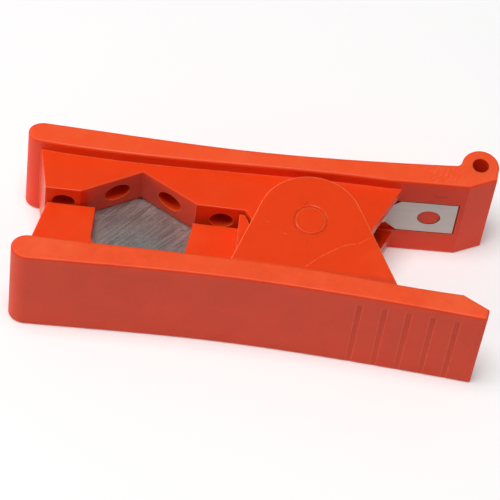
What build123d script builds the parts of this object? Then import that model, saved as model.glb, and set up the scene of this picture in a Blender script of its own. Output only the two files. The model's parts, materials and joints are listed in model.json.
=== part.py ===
from build123d import *
from math import acos, atan2, cos, hypot, radians, sin, tan
import os

# Hose and tube cutter: two moulded jaws on one pivot pin, a flat steel blade in the
# blade jaw, a V-shaped seat in the anvil jaw and a leaf spring that closes them.
# The tool lies on its side: jaw tips towards -X, handles towards +X, thickness along Z.
# Sketches are drawn about the pivot, and the frame's origin is under the tool's middle.

# ---- driving dimensions, mm ----
WIDTH = 23.0            # thickness of the tool, from band edge to band edge
TIP_X = -54.35          # tip of the blade jaw, from the pivot
FAR_TIP_X = -54.2       # tip of the anvil jaw
TAIL_X = 34.25          # end of the blade jaw's handle, from the pivot
NEAR_Y = -17.35         # outer face of the blade jaw at its handle end
EDGE_ROUND = 0.5        # soft edge of the bands
EDGE_BREAK = 0.2        # crisp edges of the web, the holder and the lugs
JAW_GAP = 0.25          # blade jaw to anvil jaw where they meet when closed
TIP_ROUND_X = -51.2     # where the elliptical ends of the jaw tips begin
TAIL_ROUND = 0.5

EYE_CENTRE = (31.2, 16.75)
EYE_R = 3.57
EYE_HOLE_R = 1.6
EYE_THROAT_ROUND = 1.2  # where the eye joins the handle's outer face
HANDLE_END = [(34.5, 13.9), (34.75, EYE_CENTRE[1])]    # blunt end of the anvil jaw's handle

WEB_RECESS = 2.6        # web of the anvil jaw, below the band edges
WEB_FLAT_Y = 2.1        # anvil flats either side of the V
V_APEX = (-31.9, 8.0)
V_FEET = (-43.1, -21.3)
BOSS_R = 10.0           # round end of the web about the pivot
HUB_R = 6.4             # solid core round the pin
WEB_PLATE = 2.4         # side plates of the hollow part of the web
HOLLOW_LOW_Y = -12.0    # past the web's lower edge
HOLLOW_REAR_X = 22.0    # past its rear edge
CORE_HOLE_R = 2.25      # blind cored holes in the seat
CORE_HOLE_X = (-46.2, -36.4, -26.4, -16.4)
CORE_FLOOR_Y = 9.2
WEB_ROOT_Y = 12.0       # depth that the web is sunk into the band to join it

LUG_R = 9.9
LUG_RECESS = 0.2        # lug faces below the band edges
LUG_THICK = 2.2
PIN_R = 3.05
PIN_PLAY = 0.05         # running fit in the anvil jaw
RIM_BEVEL = 0.3         # bevels that leave the fine ring round the pin's end

BLADE_T = 0.65
BLADE_X = (-47.0, -15.0)
BLADE_Y = (-9.0, 8.9)
BLADE_BEVEL = 1.3
SLOT_T = 1.0            # slot in the anvil that the blade drops into
SLOT_X = (-48.3, -13.9)
SLOT_FLOOR_Y = 10.0
HOLDER_SLOT_T = 0.7
BLADE_PLAY = 0.1        # round the blade's ends and lower edge in the holder
HOLDER_SLOT_TOP = 4.0   # above the holder, so that the slot is open at its top
EDGE_LAND = 0.03        # half of the flat left at the cutting edge

HOLDER_T = 9.0          # blade holder of the blade jaw
HOLDER_Y = 0.9          # top of the holder's rear pad
BAY_X = (-40.3, -22.6)  # the bay that the tube passes through, at its floor
BAY_FLOOR_Y = -6.5
BAY_ROUND = 2.0         # corner of the bay nearer the tip
RIDGE_T = 15.4          # thicker block behind the holder, next to the boss
RIDGE_END = (-4.0, -4.2)

SPRING_T = 0.5
SPRING_HEAD_W = 9.5
SPRING_TONGUE_W = 5.0
SPRING_HOLE_X = 23.1
SPRING_HOLE_R = 2.2
SEAT_SLOPE = 2.3        # degrees, slope of the wall that the spring lies on
STUD_PLAY = 0.15        # round the stud in the spring's hole
STUD_SHORT = 0.1        # stud below the spring's face

GRIP_X = (10.5, 15.2, 19.7, 24.2, 28.7)
GRIP_W = 1.1
GRIP_DEPTH = 0.35       # at the blind end of a grip groove
GRIP_RUN_OUT = 0.12     # depth left where it runs out over the lower edge
GRIP_BLIND = 2.6        # blind end, from the upper edge
GRIP_CLEAR = 1.0        # reach of the groove's cutter outside the face

MID = WIDTH / 2
PIVOT = (-(TIP_X + EYE_CENTRE[0] + EYE_R) / 2, -(NEAR_Y + EYE_CENTRE[1] + EYE_R) / 2)


def level(z):
    """The sketch plane at height z, with its origin on the pivot axis."""
    return Plane((PIVOT[0], PIVOT[1], z))


def tangent_point(point, radius, side):
    """Where a line from point touches the circle about the pivot; side is +1 or -1."""
    reach = hypot(*point)
    angle = atan2(point[1], point[0]) + side * acos(radius / reach)
    return (radius * cos(angle), radius * sin(angle))


def tip_end(low_y, high_y, tip_x):
    """Half an ellipse that closes a band's outline at its tip."""
    centre = (TIP_ROUND_X, (low_y + high_y) / 2)
    half_width = (high_y - low_y) / 2
    return EllipticalCenterArc(centre, TIP_ROUND_X - tip_x, half_width, start_angle=90, arc_size=180)


def band_edges(part):
    """The long edges round a band's top and bottom faces."""
    flats = part.faces().filter_by(Axis.Z).sort_by(Axis.Z)
    return flats[0].edges() + flats[-1].edges()


def rim_edges(part, z, lowest, highest):
    """Edges of the flat faces at height z that lie between two distances from the pivot along Y."""
    flats = part.faces().filter_by(Axis.Z).filter_by(lambda f: abs(f.center().Z - z) < 0.01)
    return flats.edges().filter_by(lambda e: lowest < e.center().Y - PIVOT[1] < highest)


def groove_centres(face, places):
    """Centres of the grip grooves at the given X, on a handle's outer face between two of its points."""
    (x0, y0), (x1, y1) = face
    return [(x, y0 + (y1 - y0) * (x - x0) / (x1 - x0)) for x in places]


def groove_plane(centre):
    """Sketch plane across a grip groove's left side: X there is along the tool's Y, and Y is height."""
    origin = (PIVOT[0] + centre[0] - GRIP_W / 2, PIVOT[1] + centre[1], 0)
    return Plane(origin, x_dir=(0, 1, 0), z_dir=(1, 0, 0))


def groove_profile(inward):
    """A groove's depth against height; inward is the sign of Y into the handle."""
    top = WIDTH - GRIP_BLIND
    return [(-inward * GRIP_CLEAR, 0), (inward * GRIP_RUN_OUT, 0),
            (inward * GRIP_DEPTH, top), (-inward * GRIP_CLEAR, top)]


# ---- the blade jaw: band, blade holder, ridge and two lugs in one moulding ----

NEAR_OUTER = [(TIP_ROUND_X, -15.68), (-36.0, -15.15), (-17.0, -14.75), (8.0, -15.55), (TAIL_X - 0.35, NEAR_Y)]
NEAR_INNER = [(29.3, -12.4), (16.5, -11.8), (-2.0, -10.6), (-25.0, -10.35), (TIP_ROUND_X, -10.42)]
FLOOR_Y = -11.5         # depth that every feature is sunk into the band to join it
LUG_FEET = [(-14.1, -10.5), (16.9, -11.7)]     # where the lugs' sides meet the band
LUG_ROOT_Y = -12.4
NEAR_GRIP = [(10.0, -15.65), (30.0, -17.05)]

with BuildPart() as blade_jaw:
    with BuildSketch(level(0)):
        with BuildLine():
            Spline(*NEAR_OUTER)
            Polyline(NEAR_OUTER[-1], (TAIL_X, -15.05), NEAR_INNER[0])
            Spline(*NEAR_INNER)
            tip_end(NEAR_OUTER[0][1], NEAR_INNER[-1][1], TIP_X)
        make_face()
        fillet(vertices().sort_by(Axis.X)[-2:], TAIL_ROUND)
    extrude(amount=WIDTH)
    fillet(band_edges(blade_jaw), EDGE_ROUND)

    # blade holder, with the bay that the tube passes through
    with BuildSketch(level(MID - HOLDER_T / 2)):
        with BuildLine():
            Polyline((-52.6, FLOOR_Y), (-51.2, -6.0), (-49.2, WEB_FLAT_Y - JAW_GAP),
                     (-40.1, WEB_FLAT_Y - JAW_GAP), (BAY_X[0], BAY_FLOOR_Y), (BAY_X[1], BAY_FLOOR_Y),
                     (-21.6, HOLDER_Y), (-13.0, HOLDER_Y), (-13.0, FLOOR_Y), (-52.6, FLOOR_Y))
        make_face()
        bay_corner = vertices().sort_by_distance((BAY_X[0], BAY_FLOOR_Y))[0]
        fillet(bay_corner, BAY_ROUND)
    extrude(amount=HOLDER_T)
    for z in (MID - HOLDER_T / 2, MID + HOLDER_T / 2):
        fillet(rim_edges(blade_jaw, z, -9.5, 3.0), EDGE_BREAK)

    # ridge beside the boss
    with BuildSketch(level(MID - RIDGE_T / 2)):
        with BuildLine():
            Polyline((RIDGE_END[0], FLOOR_Y), (-13.15, FLOOR_Y), (-13.15, WEB_FLAT_Y - JAW_GAP),
                     (-12.3, WEB_FLAT_Y - JAW_GAP), (-11.65, 1.0), (-9.5, RIDGE_END[1]),
                     RIDGE_END, (RIDGE_END[0], FLOOR_Y))
        make_face()
        Circle(BOSS_R + JAW_GAP, mode=Mode.SUBTRACT)
    extrude(amount=RIDGE_T)

    # lugs, one each side of the anvil's web
    for z in (LUG_RECESS, WIDTH - LUG_RECESS - LUG_THICK):
        left = tangent_point(LUG_FEET[0], LUG_R, -1)
        right = tangent_point(LUG_FEET[1], LUG_R, 1)
        with BuildSketch(level(z)):
            with BuildLine():
                ThreePointArc(left, (0, LUG_R), right)
                Polyline(right, LUG_FEET[1], (LUG_FEET[1][0], LUG_ROOT_Y),
                         (LUG_FEET[0][0], LUG_ROOT_Y), LUG_FEET[0], left)
            make_face()
            Circle(PIN_R, mode=Mode.SUBTRACT)
        extrude(amount=LUG_THICK)
    rims = blade_jaw.edges().filter_by(GeomType.CIRCLE).filter_by(lambda e: abs(e.radius - PIN_R) < 0.01)
    chamfer([rims.sort_by(Axis.Z)[0], rims.sort_by(Axis.Z)[-1]], RIM_BEVEL)
    for z in (LUG_RECESS, WIDTH - LUG_RECESS):
        fillet(rim_edges(blade_jaw, z, -10.0, LUG_R + 1).filter_by(lambda e: e.length > 8), EDGE_BREAK)

    # slot that the blade is pushed into
    with BuildSketch(level(MID - HOLDER_SLOT_T / 2)):
        with BuildLine():
            Polyline((BLADE_X[0] - BLADE_PLAY, BLADE_Y[0] - BLADE_PLAY),
                     (BLADE_X[1] + BLADE_PLAY, BLADE_Y[0] - BLADE_PLAY),
                     (BLADE_X[1] + BLADE_PLAY, HOLDER_SLOT_TOP),
                     (BLADE_X[0] - BLADE_PLAY, HOLDER_SLOT_TOP), close=True)
        make_face()
    extrude(amount=HOLDER_SLOT_T, mode=Mode.SUBTRACT)

    # grip grooves across the outer face of the handle
    for centre in groove_centres(NEAR_GRIP, GRIP_X):
        with BuildSketch(groove_plane(centre)):
            with BuildLine():
                Polyline(*groove_profile(1), close=True)
            make_face()
        extrude(amount=GRIP_W, mode=Mode.SUBTRACT)


# ---- the anvil jaw: band, lanyard eye and the web with the V-shaped seat ----

FAR_OUTER = [(26.3, 16.25), (6.4, 14.8), (-12.5, 14.1), (-31.5, 14.35), (TIP_ROUND_X, 14.95)]
FAR_INNER = [(TIP_ROUND_X, 10.45), (-25.0, 10.1), (4.0, 10.95), (14.0, 10.9)]
SEAT_START = (14.0, 10.9)
SEAT_END_X = 29.45
SEAT_END = (SEAT_END_X, SEAT_START[1] + (SEAT_END_X - SEAT_START[0]) * tan(radians(SEAT_SLOPE)))
FAR_GRIP = [(10.0, 15.0), (24.2, 16.1)]
REAR_TOP = (16.9, 11.2)     # where the web's rear edge leaves the band

SEAT_PLAY = 0.3             # room round the spring's head in its seat
SEAT_DEPTH = SPRING_T + 0.1    # the spring's face is just below the wall
SEAT_LENGTH = 14.8
SEAT_W = SPRING_HEAD_W + 2 * SEAT_PLAY
# the seat seen along Z, with X along the wall, and the same seat seen square to the wall
seat_side = Plane(level(0).from_local_coords(SEAT_START),
                  x_dir=(cos(radians(SEAT_SLOPE)), sin(radians(SEAT_SLOPE)), 0), z_dir=(0, 0, 1))
seat_face = Plane(seat_side.from_local_coords((0, 0, MID)), x_dir=seat_side.x_dir, z_dir=-seat_side.y_dir)

with BuildPart() as anvil_jaw:
    with BuildSketch(level(0)):
        with BuildLine():
            Spline(*FAR_INNER)
            Polyline(SEAT_START, SEAT_END, *HANDLE_END, EYE_CENTRE, FAR_OUTER[0])
            Spline(*FAR_OUTER)
            tip_end(FAR_INNER[0][1], FAR_OUTER[-1][1], FAR_TIP_X)
        make_face()
        with Locations(EYE_CENTRE):
            Circle(EYE_R)
        throat = vertices().sort_by_distance((EYE_CENTRE[0] - EYE_R, EYE_CENTRE[1]))[0]
        fillet(throat, EYE_THROAT_ROUND)
    extrude(amount=WIDTH)
    fillet(band_edges(anvil_jaw), EDGE_ROUND)

    # eye for a lanyard
    with BuildSketch(level(0)):
        with Locations(EYE_CENTRE):
            Circle(EYE_HOLE_R)
    extrude(amount=WIDTH, mode=Mode.SUBTRACT)

    # web
    with BuildSketch(level(WEB_RECESS)):
        rear_foot = tangent_point(REAR_TOP, BOSS_R, -1)
        with BuildLine():
            corner = (-11.3, 1.1)
            shoulder = tangent_point(corner, BOSS_R, 1)
            Polyline((-51.8, WEB_ROOT_Y), (-49.7, WEB_FLAT_Y), (V_FEET[0], WEB_FLAT_Y), V_APEX,
                     (V_FEET[1], WEB_FLAT_Y), (-12.1, WEB_FLAT_Y), corner, shoulder)
            ThreePointArc(shoulder, (0, -BOSS_R), rear_foot)
            Polyline(rear_foot, REAR_TOP, (REAR_TOP[0], WEB_ROOT_Y), (-51.8, WEB_ROOT_Y))
        make_face()
    extrude(amount=WIDTH - 2 * WEB_RECESS)
    for z in (WEB_RECESS, WIDTH - WEB_RECESS):
        fillet(rim_edges(anvil_jaw, z, -12.0, 9.0), EDGE_BREAK)

    # slot that the blade drops into
    with BuildSketch(level(MID - SLOT_T / 2)):
        with BuildLine():
            Polyline((SLOT_X[0], 0.0), (SLOT_X[1], 0.0), (SLOT_X[1], SLOT_FLOOR_Y),
                     (SLOT_X[0], SLOT_FLOOR_Y), close=True)
        make_face()
    extrude(amount=SLOT_T, mode=Mode.SUBTRACT)

    # cored holes in the seat, above and below the slot
    core_rise = (SLOT_T / 2 + MID - WEB_RECESS) / 2
    bore_plane = Plane((PIVOT[0], PIVOT[1] + CORE_FLOOR_Y, MID), x_dir=(1, 0, 0), z_dir=(0, -1, 0))
    with BuildSketch(bore_plane):
        for x in CORE_HOLE_X:
            with Locations((x, core_rise), (x, -core_rise)):
                Circle(CORE_HOLE_R)
    extrude(amount=CORE_FLOOR_Y, mode=Mode.SUBTRACT)

    # hollow of the web behind the hub, open to the rear and below
    with BuildSketch(level(WEB_RECESS + WEB_PLATE)):
        with BuildLine():
            Polyline((-2.0, HOLLOW_LOW_Y), (HOLLOW_REAR_X, HOLLOW_LOW_Y), (HOLLOW_REAR_X, SEAT_START[1]),
                     (4.0, SEAT_START[1]), (4.0, 4.0), (-2.0, -4.0), (-2.0, HOLLOW_LOW_Y))
        make_face()
        Circle(HUB_R, mode=Mode.SUBTRACT)
    extrude(amount=WIDTH - 2 * WEB_RECESS - 2 * WEB_PLATE, mode=Mode.SUBTRACT)

    # bore for the pivot pin
    with BuildSketch(level(0)):
        Circle(PIN_R + PIN_PLAY)
    extrude(amount=WIDTH, mode=Mode.SUBTRACT)

    # shallow seat of the spring's head, with the stud that it hangs on
    with BuildSketch(seat_side.offset(MID - SEAT_W / 2)):
        with Locations((SEAT_LENGTH / 2 - SEAT_PLAY, 0)):
            Rectangle(SEAT_LENGTH, 2 * SEAT_DEPTH)
    extrude(amount=SEAT_W, mode=Mode.SUBTRACT)
    with BuildSketch(seat_face.offset(-SEAT_DEPTH)):
        with Locations((SPRING_HOLE_X - SEAT_START[0], 0)):
            Circle(SPRING_HOLE_R - STUD_PLAY)
    extrude(amount=SEAT_DEPTH - STUD_SHORT)

    # grip grooves, as on the other handle as far as the eye allows
    for centre in groove_centres(FAR_GRIP, GRIP_X[:4]):
        with BuildSketch(groove_plane(centre)):
            with BuildLine():
                Polyline(*groove_profile(-1), close=True)
            make_face()
        extrude(amount=GRIP_W, mode=Mode.SUBTRACT)

# ---- pivot pin, flush in both lugs ----

with BuildPart() as pivot_pin:
    with BuildSketch(level(LUG_RECESS)):
        Circle(PIN_R)
    extrude(amount=WIDTH - 2 * LUG_RECESS)
    chamfer(edges().filter_by(GeomType.CIRCLE), RIM_BEVEL)

# ---- the blade, ground on both sides of its long edge ----

with BuildPart() as cutting_blade:
    with BuildSketch(level(MID - BLADE_T / 2)):
        with BuildLine():
            Polyline((BLADE_X[0], BLADE_Y[0]), (BLADE_X[1], BLADE_Y[0]), (BLADE_X[1], BLADE_Y[1]),
                     (BLADE_X[0], BLADE_Y[1]), close=True)
        make_face()
    extrude(amount=BLADE_T)
    cutting_edges = edges().filter_by(Axis.X).group_by(Axis.Y)[-1]
    chamfer(cutting_edges, length=BLADE_T / 2 - EDGE_LAND, length2=BLADE_BEVEL)

# ---- leaf spring: a head on the anvil handle's wall, a tongue that presses on the blade jaw ----

# its points are measured along and across the seat, from the seat's start

HEAD_END = 14.2
BEND = (0.2, 0.3)
BEND_R = 1.5
FOOT = (-10.0, -21.1)       # where the tongue meets the blade jaw's floor
FOOT_TIP = (-12.05, -20.9)
SHOULDER = 3.3              # where the head starts to narrow
TRIM = 30.0                 # deeper than the spring is tall

with BuildPart() as return_spring:
    with BuildSketch(seat_side.offset(MID - SPRING_HEAD_W / 2)):
        with BuildLine():
            FilletPolyline((HEAD_END, BEND[1]), BEND, FOOT, FOOT_TIP, radius=BEND_R)
        trace(line_width=SPRING_T)
    extrude(amount=SPRING_HEAD_W)

    # the tongue is narrower than the head, with sloping shoulders
    drop = (SPRING_HEAD_W - SPRING_TONGUE_W) / 2
    with BuildSketch(seat_face):
        with BuildLine():
            Polyline((SHOULDER, SPRING_HEAD_W / 2), (SHOULDER - drop, SPRING_TONGUE_W / 2),
                     (FOOT_TIP[0] - 1, SPRING_TONGUE_W / 2), (FOOT_TIP[0] - 1, SPRING_HEAD_W),
                     (SHOULDER, SPRING_HEAD_W), close=True)
        make_face()
        mirror(about=Plane.XZ)
        with Locations((SPRING_HOLE_X - SEAT_START[0], 0)):
            Circle(SPRING_HOLE_R)
    extrude(amount=TRIM, both=True, mode=Mode.SUBTRACT)

os.makedirs("parts", exist_ok=True)
for name, piece in (("anvil_jaw", anvil_jaw), ("blade_jaw", blade_jaw), ("pivot_pin", pivot_pin),
                    ("cutting_blade", cutting_blade), ("return_spring", return_spring)):
    piece.part.label = name
    export_step(piece.part, f"parts/{name}.step")
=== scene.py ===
import json
import math
import bmesh
import bpy
from mathutils import Matrix, Vector


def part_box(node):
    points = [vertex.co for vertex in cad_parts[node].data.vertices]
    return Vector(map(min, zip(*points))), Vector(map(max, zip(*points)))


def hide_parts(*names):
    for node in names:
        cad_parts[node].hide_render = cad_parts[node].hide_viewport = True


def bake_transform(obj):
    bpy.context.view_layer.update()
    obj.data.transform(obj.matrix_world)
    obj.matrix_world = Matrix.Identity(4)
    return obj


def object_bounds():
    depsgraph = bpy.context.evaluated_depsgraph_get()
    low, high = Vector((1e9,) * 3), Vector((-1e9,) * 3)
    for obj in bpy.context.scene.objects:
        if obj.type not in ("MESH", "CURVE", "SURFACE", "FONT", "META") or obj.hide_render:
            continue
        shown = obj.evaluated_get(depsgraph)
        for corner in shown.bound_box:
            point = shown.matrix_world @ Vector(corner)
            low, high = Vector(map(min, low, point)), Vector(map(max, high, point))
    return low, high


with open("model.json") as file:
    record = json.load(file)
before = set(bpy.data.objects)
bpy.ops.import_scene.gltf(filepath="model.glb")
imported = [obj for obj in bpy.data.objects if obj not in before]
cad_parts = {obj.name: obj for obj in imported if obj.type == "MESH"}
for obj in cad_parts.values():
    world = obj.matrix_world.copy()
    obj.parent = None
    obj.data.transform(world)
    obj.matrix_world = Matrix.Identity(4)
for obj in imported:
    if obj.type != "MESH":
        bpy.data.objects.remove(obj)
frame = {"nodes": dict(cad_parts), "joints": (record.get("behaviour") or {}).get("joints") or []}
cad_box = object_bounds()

MM = 0.001
lo, hi = cad_box
middle = (lo + hi) / 2
pivot = Vector(frame["joints"][0]["pos_m"])
top = hi.z
scene = bpy.context.scene


# ---- camera ----

AZIMUTH, ELEVATION, ROLL = (math.radians(a) for a in (-3.0, 56.8, 9.2))
DISTANCE = 573.8 * MM
AIM = middle + Vector((-0.51, -2.22, 0.0)) * MM
LENS, SENSOR = 219, 36      # millimetres


def make_camera():
    """A long lens, from in front and above, tilted a little about its own axis."""
    data = bpy.data.cameras.new("camera")
    data.sensor_width = SENSOR
    data.lens = LENS
    camera = bpy.data.objects.new("camera", data)
    scene.collection.objects.link(camera)
    level = math.cos(ELEVATION)
    back = Vector((math.sin(AZIMUTH) * level, -math.cos(AZIMUTH) * level, math.sin(ELEVATION)))
    turn = (-back).to_track_quat("-Z", "Y").to_matrix().to_4x4() @ Matrix.Rotation(ROLL, 4, "Z")
    camera.matrix_world = Matrix.Translation(AIM + back * DISTANCE) @ turn
    scene.camera = camera


make_camera()


# ---- node helpers ----

class Nodes:
    """A material's node tree, with short calls for the nodes that these finishes use."""

    def __init__(self, name):
        self.material = bpy.data.materials.new(name)
        self.material.use_nodes = True
        self.tree = self.material.node_tree
        self.shader = self.tree.nodes["Principled BSDF"]
        self.place = self.tree.nodes.new("ShaderNodeTexCoord").outputs["Object"]

    def link(self, source, socket):
        if isinstance(source, bpy.types.NodeSocket):
            self.tree.links.new(source, socket)
        else:
            socket.default_value = source

    def math(self, operation, a, b=0.0, clamp=False):
        node = self.tree.nodes.new("ShaderNodeMath")
        node.operation = operation
        node.use_clamp = clamp
        self.link(a, node.inputs[0])
        self.link(b, node.inputs[1])
        return node.outputs[0]

    def vector(self, operation, a, b=(0, 0, 0)):
        node = self.tree.nodes.new("ShaderNodeVectorMath")
        node.operation = operation
        self.link(a, node.inputs[0])
        self.link(b, node.inputs[1])
        return node.outputs["Value" if operation in ("DISTANCE", "DOT_PRODUCT") else "Vector"]

    def axis(self, name):
        node = self.tree.nodes.new("ShaderNodeSeparateXYZ")
        self.link(self.place, node.inputs[0])
        return node.outputs[name]

    def mapped(self, scale, turn=0.0, shift=(0, 0, 0)):
        node = self.tree.nodes.new("ShaderNodeMapping")
        node.vector_type = "TEXTURE"
        node.inputs["Rotation"].default_value = (0, 0, turn)
        node.inputs["Location"].default_value = shift
        node.inputs["Scale"].default_value = scale
        self.link(self.place, node.inputs["Vector"])
        return node.outputs[0]

    def noise(self, scale, detail=2.0, rough=0.5, distortion=0.0, at=None):
        node = self.tree.nodes.new("ShaderNodeTexNoise")
        node.inputs["Scale"].default_value = scale
        node.inputs["Detail"].default_value = detail
        node.inputs["Roughness"].default_value = rough
        node.inputs["Distortion"].default_value = distortion
        self.link(at or self.place, node.inputs["Vector"])
        return node.outputs["Fac"]

    def ranged(self, value, low, high, to_low=0.0, to_high=1.0, smooth=False):
        node = self.tree.nodes.new("ShaderNodeMapRange")
        node.interpolation_type = "SMOOTHSTEP" if smooth else "LINEAR"
        for name, number in (("From Min", low), ("From Max", high), ("To Min", to_low), ("To Max", to_high)):
            node.inputs[name].default_value = number
        self.link(value, node.inputs["Value"])
        return node.outputs[0]

    def blend(self, share, a, b):
        node = self.tree.nodes.new("ShaderNodeMix")
        node.data_type = "RGBA"
        self.link(share, node.inputs["Factor"])
        for socket, colour in ((node.inputs[6], a), (node.inputs[7], b)):
            self.link(colour if isinstance(colour, bpy.types.NodeSocket) else (*colour, 1), socket)
        return node.outputs[2]

    def bump(self, height, distance, under=None):
        node = self.tree.nodes.new("ShaderNodeBump")
        node.inputs["Distance"].default_value = distance
        self.link(height, node.inputs["Height"])
        if under is not None:
            self.link(under, node.inputs["Normal"])
        return node.outputs[0]

    def stroke(self, start, end, width):
        """1 on a fine stroke between two points, fading to 0 at its edges."""
        a, b = Vector(start), Vector(end)
        along = b - a
        rel = self.vector("SUBTRACT", self.place, a)
        share = self.vector("DOT_PRODUCT", rel, along)
        share = self.math("MULTIPLY", share, 1 / along.length_squared, clamp=True)
        node = self.tree.nodes.new("ShaderNodeVectorMath")
        node.operation = "SCALE"
        node.inputs[0].default_value = along
        self.link(share, node.inputs["Scale"])
        gap = self.vector("DISTANCE", rel, node.outputs[0])
        return self.ranged(gap, width * 0.25, width, 1.0, 0.0, smooth=True)

    def largest(self, values):
        total = values[0]
        for value in values[1:]:
            total = self.math("MAXIMUM", total, value)
        return total


# ---- orange-red plastic ----

DENT_SHADE = (0.45, 0.012, 0.002)             # painted shade in a dent
SMOOTH = (0.79, 0.047, 0.002)           # the polished faces
CLOUDY = (0.93, 0.056, 0.004)           # brighter clouds in the pigment
SHEEN_HAZE = (0.88, 0.078, 0.013)             # painted sheen in soft patches on the polished faces
RIM_SHEEN = (0.90, 0.094, 0.017)              # painted sheen on the bands' upper and lower edges
STRONG_RIM_SHEEN = (0.93, 0.15, 0.05)             # where the painted sheen is strongest
SPECK = (0.95, 0.115, 0.03)
CORNER_WEAR_AND_HIGHLIGHT = (1.0, 0.22, 0.085)               # a sharp corner, rubbed pale and with a painted highlight
OUTLINE_HIGHLIGHT = (1.0, 0.24, 0.10)             # painted highlight on a rounded corner
SCRATCH = (1.0, 0.26, 0.12)
SMEAR = (1.0, 0.20, 0.085)


def pigment(n, band, rim, smooth, fine):
    """The plastic's colour: a little uneven, with painted sheen where it is smooth and on the rims."""
    cloud = n.ranged(n.noise(120, 4, 0.6, 0.8), 0.3, 0.7)
    colour = n.blend(n.math("MULTIPLY", cloud, 0.25), n.blend(smooth, band, SMOOTH), CLOUDY)
    # painted sheen in soft patches on the smooth faces
    sheen_haze = n.math("MULTIPLY", n.ranged(n.noise(75, 3, 0.5), 0.48, 0.68), smooth)
    colour = n.blend(n.math("MULTIPLY", sheen_haze, 0.45), colour, SHEEN_HAZE)
    # painted sheen on the bands' top and bottom edges, strongest in patches
    rim_sheen = n.math("MULTIPLY", rim, n.ranged(n.noise(330, 4, 0.7), 0.25, 0.7, 0.55, 1.0))
    colour = n.blend(rim_sheen, colour, RIM_SHEEN)
    most = n.ranged(n.noise(45, 3, 0.5), 0.48, 0.66, 0.0, 0.6)
    colour = n.blend(n.math("MULTIPLY", rim_sheen, most), colour, STRONG_RIM_SHEEN)
    return n.blend(n.ranged(fine, 0.35, 0.7, 0.0, 0.16), colour, SPECK)


def pale_corners(n, colour, smooth):
    """Sharp corners rub pale and carry a painted highlight, more on the smooth faces."""
    bevel = n.tree.nodes.new("ShaderNodeBevel")
    bevel.samples = 6
    bevel.inputs["Radius"].default_value = 0.32 * MM
    plain = n.tree.nodes.new("ShaderNodeNewGeometry").outputs["Normal"]
    edge = n.ranged(n.vector("DOT_PRODUCT", bevel.outputs[0], plain), 0.99, 0.90)
    edge = n.math("MULTIPLY", edge, n.ranged(n.noise(900, 3, 0.7), 0.35, 0.60, 0.45, 1.0))
    share = n.math("ADD", 0.58, n.math("MULTIPLY", smooth, 0.37))
    # pale rubbed corners with a painted highlight
    return n.blend(n.math("MULTIPLY", edge, share), colour, CORNER_WEAR_AND_HIGHLIGHT)


def pale_outline(n, colour, radius, sides):
    """A thin painted highlight on the lug's rounded corner: an arc about the pivot and two straight sides."""
    reach = n.vector("DISTANCE", n.vector("MULTIPLY", n.place, (1, 1, 0)), (pivot.x, pivot.y, 0))
    off = n.math("ABSOLUTE", n.math("SUBTRACT", reach, radius))
    arc = n.ranged(off, 0.05 * MM, 0.22 * MM, 1.0, 0.0)
    arc = n.math("MULTIPLY", arc, n.ranged(n.axis("Y"), pivot.y + 3 * MM, pivot.y + 4.5 * MM))
    line = n.largest([arc] + [n.stroke(*side) for side in sides])
    line = n.math("MULTIPLY", line, n.ranged(n.noise(700, 3, 0.6), 0.35, 0.6, 0.4, 0.75))
    # painted highlight along the lug's outline
    return n.blend(line, colour, OUTLINE_HIGHLIGHT)


def scratched(n, colour, normal, scratches):
    """Broken, pale scratches."""
    mark = n.largest([n.stroke(*scratch) for scratch in scratches])
    mark = n.math("MULTIPLY", mark, n.ranged(n.noise(1500, 2, 0.6), 0.42, 0.58, 0.1, 1.0))
    return n.blend(n.math("MULTIPLY", mark, 0.5), colour, SCRATCH), n.bump(mark, 0.03 * MM, normal)


def dented(n, colour, normal, dents):
    """Shallow dents, darkened with painted shade."""
    mark = n.largest([n.stroke(*dent) for dent in dents])
    height = n.math("SUBTRACT", 1.0, mark)
    # painted shade in the dents, with a bump
    return n.blend(n.math("MULTIPLY", mark, 0.4), colour, DENT_SHADE), n.bump(height, 0.03 * MM, normal)


def smeared(n, colour, normal, rim, centre, reach, slant):
    """Short slanting streaks on the band's edge, where the plastic has been dragged."""
    near = n.vector("DISTANCE", n.place, centre)
    near = n.ranged(near, reach * 0.3, reach, 1.0, 0.0, smooth=True)
    streak = n.noise(1.0, 3, 0.6, 0.5, at=n.mapped((1.4 * MM, 0.30 * MM, 1.0), slant))
    streak = n.math("MULTIPLY", n.math("MULTIPLY", n.ranged(streak, 0.50, 0.68), near), rim)
    return n.blend(n.math("MULTIPLY", streak, 0.5), colour, SMEAR), n.bump(streak, 0.02 * MM, normal)


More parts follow.
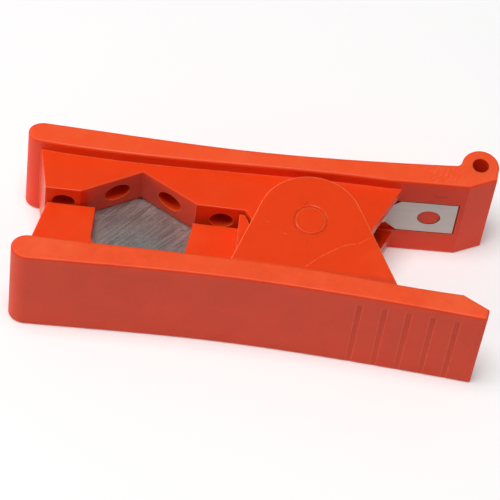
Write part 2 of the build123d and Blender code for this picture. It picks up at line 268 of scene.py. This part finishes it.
def moulded(name, band, polished=None, scratches=(), dents=(), smear=None, outline=None):
    """Orange-red moulded plastic: grained bands with painted sheen on their rims, smoother inner faces and a
    few marks.

    band is the grained part's colour; polished is the pair of Y, in metres, between which the grained
    finish turns into the smooth one.
    """
    n = Nodes(name)
    rise = n.math("ABSOLUTE", n.math("SUBTRACT", n.axis("Z"), middle.z))
    rim = n.ranged(rise, middle.z - 0.17 * MM, middle.z - 0.05 * MM)
    smooth = n.ranged(n.axis("Y"), *polished) if polished else 1.0
    fine = n.noise(7000, 2, 0.6)
    colour = pale_corners(n, pigment(n, band, rim, smooth, fine), smooth)

    height = n.math("ADD", n.math("MULTIPLY", fine, 0.30), n.math("MULTIPLY", n.noise(2100, 2, 0.5), 0.5))
    coarse = n.math("SUBTRACT", 1.0, n.math("MULTIPLY", smooth, 0.65))
    normal = n.bump(n.math("MULTIPLY", height, coarse), 0.011 * MM)
    patchy = n.ranged(n.noise(500, 4, 0.65), 0.3, 0.7, -0.02, 0.02)
    rough = n.math("ADD", n.math("SUBTRACT", 0.50, n.math("MULTIPLY", smooth, 0.20)), patchy)
    if outline:
        colour = pale_outline(n, colour, *outline)
    if scratches:
        colour, normal = scratched(n, colour, normal, scratches)
    if dents:
        colour, normal = dented(n, colour, normal, dents)
    if smear:
        colour, normal = smeared(n, colour, normal, rim, *smear)

    n.link(colour, n.shader.inputs["Base Color"])
    n.link(rough, n.shader.inputs["Roughness"])
    n.link(normal, n.shader.inputs["Normal"])
    n.shader.inputs["IOR"].default_value = 1.47
    n.shader.inputs["Specular IOR Level"].default_value = 0.27
    n.shader.inputs["Subsurface Weight"].default_value = 0.5
    n.shader.inputs["Subsurface Radius"].default_value = (1.0, 0.12, 0.04)
    n.shader.inputs["Subsurface Scale"].default_value = 2.0 * MM
    return n.material


# ---- steel ----

def ground_steel():
    """The blade: grey steel with fine slanting grinding lines, a few scratches across them and stains."""
    n = Nodes("ground_steel")
    slant = math.radians(38)
    fine = n.noise(1.0, 3, 0.75, at=n.mapped((3.5 * MM, 0.10 * MM, 1.0), slant))
    broad = n.noise(1.0, 3, 0.7, at=n.mapped((8 * MM, 0.33 * MM, 1.0), slant + 0.16))
    cross = n.noise(1.0, 3, 0.7, at=n.mapped((3 * MM, 0.12 * MM, 1.0), slant - 0.45))
    speck = n.noise(2600, 3, 0.7)
    stain = n.noise(190, 4, 0.6, 0.6)
    shade = n.math("ADD", n.math("MULTIPLY", fine, 0.38), n.math("MULTIPLY", broad, 0.20))
    shade = n.math("ADD", shade, n.math("MULTIPLY", speck, 0.27))
    shade = n.math("ADD", shade, n.math("MULTIPLY", cross, 0.15))
    colour = n.blend(n.ranged(shade, 0.38, 0.64), (0.24, 0.215, 0.195), (0.54, 0.51, 0.485))
    colour = n.blend(n.ranged(stain, 0.35, 0.65, 0.0, 0.45), colour, (0.27, 0.275, 0.285))
    scratch = n.math("MULTIPLY", n.ranged(cross, 0.62, 0.70), n.ranged(stain, 0.4, 0.6))
    colour = n.blend(n.math("MULTIPLY", scratch, 0.5), colour, (0.75, 0.73, 0.71))
    n.link(colour, n.shader.inputs["Base Color"])
    n.link(n.ranged(broad, 0.3, 0.7, 0.30, 0.44), n.shader.inputs["Roughness"])
    n.link(n.bump(n.math("ADD", fine, n.math("MULTIPLY", cross, 0.5)), 0.014 * MM), n.shader.inputs["Normal"])
    n.shader.inputs["Metallic"].default_value = 1.0
    return n.material


def rolled_steel():
    """The spring: smooth pale rolled steel with faint long rolling lines."""
    n = Nodes("rolled_steel")
    lines = n.noise(1.0, 2, 0.6, at=n.mapped((1.0, 12 * MM, 0.25 * MM)))
    cloud = n.noise(220, 3, 0.55)
    shade = n.math("ADD", n.math("MULTIPLY", lines, 0.4), n.math("MULTIPLY", cloud, 0.6))
    colour = n.blend(n.ranged(shade, 0.35, 0.65), (0.40, 0.38, 0.35), (0.48, 0.465, 0.445))
    n.link(colour, n.shader.inputs["Base Color"])
    n.link(n.ranged(cloud, 0.3, 0.7, 0.36, 0.46), n.shader.inputs["Roughness"])
    n.link(n.bump(lines, 0.004 * MM), n.shader.inputs["Normal"])
    n.shader.inputs["Metallic"].default_value = 1.0
    return n.material


# ---- the finishes of this tool ----

LUG_TOP = top / MM - 0.2                # heights above the floor, in millimetres
WEB_TOP = top / MM - 2.6
FINE, COARSE = 0.10 * MM, 0.18 * MM     # widths of marks
FAR_PLASTIC = (0.84, 0.046, 0.004)
# the near jaw's band: the same plastic as the far jaw, painted darker as shade on its front face
NEAR_PLASTIC_SHADED = (0.64, 0.038, 0.004)


def at(x, y, z):
    """A point given in millimetres from the pivot axis, at height z above the floor."""
    return (pivot.x + x * MM, pivot.y + y * MM, z * MM)


def strokes(points, width, z):
    """The strokes that join a few points of one flat face, given in millimetres from the pivot."""
    return [(at(*a, z), at(*b, z), width) for a, b in zip(points, points[1:])]


def anvil_finish():
    """The far jaw: streaks on the band near the eye, a dent in the handle's wall, two marks on the web."""
    polished = (pivot.y + 10.6 * MM, pivot.y + 9.9 * MM)
    marks = strokes([(-24.7, 11.0), (-24.4, 10.1), (-23.7, 9.8), (-23.1, 10.1)], FINE, WEB_TOP)
    marks += strokes([(-46.5, 9.9), (-46.2, 9.75)], COARSE, WEB_TOP)
    start, turn, end = at(23.1, 11.27, 19.2), at(24.2, 11.32, 18.8), at(25.5, 11.37, 19.2)
    dents = [(start, turn, 2 * COARSE), (turn, end, 2 * COARSE)]
    smear = (at(24.8, 13.9, top / MM), 5.5 * MM, math.radians(62))
    return moulded("moulded_anvil", FAR_PLASTIC, polished, marks, dents, smear)


def blade_jaw_finish():
    """The near jaw: a long scratch and a few short ones on the lug, a dent by the pin, a painted highlight
    along its outline.
    """
    polished = (pivot.y - 11.2 * MM, pivot.y - 10.2 * MM)
    long_scratch = [(-0.1, -10.2), (2.5, -7.6), (6.6, -4.7), (9.4, -3.8), (11.4, -2.2)]
    scratches = strokes(long_scratch, 1.3 * FINE, LUG_TOP)
    scratches += strokes([(-8.4, -1.4), (-7.4, -1.35)], FINE, LUG_TOP)
    scratches += strokes([(-5.4, -3.25), (-4.7, -3.6), (-3.9, -3.5)], FINE, LUG_TOP)
    scratches += strokes([(-0.8, -4.4), (-0.75, -5.0)], FINE, LUG_TOP)
    dents = strokes([(-1.3, 3.15), (-1.15, 3.7), (-0.75, 4.1)], COARSE, LUG_TOP)
    sides = strokes([(8.8, 4.4), (16.8, -11.6)], 2 * FINE, LUG_TOP)
    sides += strokes([(-9.3, 3.2), (-14.0, -10.4)], 2 * FINE, LUG_TOP)
    return moulded("moulded_blade_jaw", NEAR_PLASTIC_SHADED, polished, scratches, dents, outline=(9.8 * MM, sides))


def dress(piece, finish):
    """Give a piece one finish in place of its own."""
    piece.data.materials.clear()
    piece.data.materials.append(finish)


for node, finish in (("anvil_jaw", anvil_finish()), ("blade_jaw", blade_jaw_finish()),
                     ("pivot_pin", moulded("moulded_pin", FAR_PLASTIC)), ("cutting_blade", ground_steel())):
    dress(frame["nodes"][node], finish)


# ---- the leaf spring, cut into short lengths ----

SPRING_STEP = 0.8 * MM
SPRING_CREASE = math.radians(30)        # edges sharper than this stay sharp
WELD = 0.001 * MM
ON_CUT = 0.00001 * MM                   # corners this near to a cut are on it


def make_spring():
    """A copy of the spring's own mesh, whose head sits on the far jaw, cut into short lengths; the spring
    part itself is hidden.
    """
    steel = bpy.data.meshes.new("leaf_spring")
    shape = bmesh.new()
    shape.from_mesh(frame["nodes"]["return_spring"].data)
    bmesh.ops.remove_doubles(shape, verts=shape.verts, dist=WELD)
    low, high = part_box("return_spring")
    for i in range(1, int((high.y - low.y) / SPRING_STEP)):
        everything = shape.verts[:] + shape.edges[:] + shape.faces[:]
        bmesh.ops.bisect_plane(shape, geom=everything, dist=ON_CUT,
                               plane_co=(0, low.y + i * SPRING_STEP, 0), plane_no=(0, 1, 0))
    for face in shape.faces:
        face.smooth = True
    for edge in shape.edges:
        edge.smooth = edge.calc_face_angle(0) < SPRING_CREASE
    shape.to_mesh(steel)
    shape.free()
    spring = bpy.data.objects.new("leaf_spring", steel)
    scene.collection.objects.link(spring)
    dress(spring, rolled_steel())
    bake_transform(spring)
    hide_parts("return_spring")


make_spring()


# ---- floor and light ----

FLOOR_SIZE = 4              # metres
FLOOR_GLOW = 0.13
SKY = 0.20


def make_floor():
    """A pale table that glows a little, as a light table does."""
    bpy.ops.mesh.primitive_plane_add(size=FLOOR_SIZE, location=(0, 0, 0))
    floor = bpy.context.object
    floor.name = "floor"
    n = Nodes("floor")
    n.link(n.blend(n.noise(6, 2), (0.86, 0.86, 0.86), (0.89, 0.89, 0.89)), n.shader.inputs["Base Color"])
    n.shader.inputs["Roughness"].default_value = 0.85
    n.shader.inputs["Emission Color"].default_value = (1, 1, 1, 1)
    n.shader.inputs["Emission Strength"].default_value = FLOOR_GLOW
    dress(floor, n.material)


def soft_light(name, where, size, power):
    """A round white softbox that faces the tool."""
    data = bpy.data.lights.new(name, "AREA")
    data.shape = "DISK"
    data.size = size
    data.energy = power
    light = bpy.data.objects.new(name, data)
    scene.collection.objects.link(light)
    light.location = where
    light.rotation_mode = "QUATERNION"
    light.rotation_quaternion = (middle - Vector(where)).to_track_quat("-Z", "Y")


def make_light():
    """One softbox above and a weak one low on the left, under an even white sky."""
    soft_light("overhead", (-0.10, -0.09, 1.0), 0.45, 7.6)
    soft_light("left", (-0.90, -0.08, 0.22), 0.4, 2.6)
    world = bpy.data.worlds.new("world")
    world.use_nodes = True
    world.node_tree.nodes["Background"].inputs["Color"].default_value = (1, 1, 1, 1)
    world.node_tree.nodes["Background"].inputs["Strength"].default_value = SKY
    scene.world = world
    scene.view_settings.view_transform = "Standard"


make_floor()
make_light()
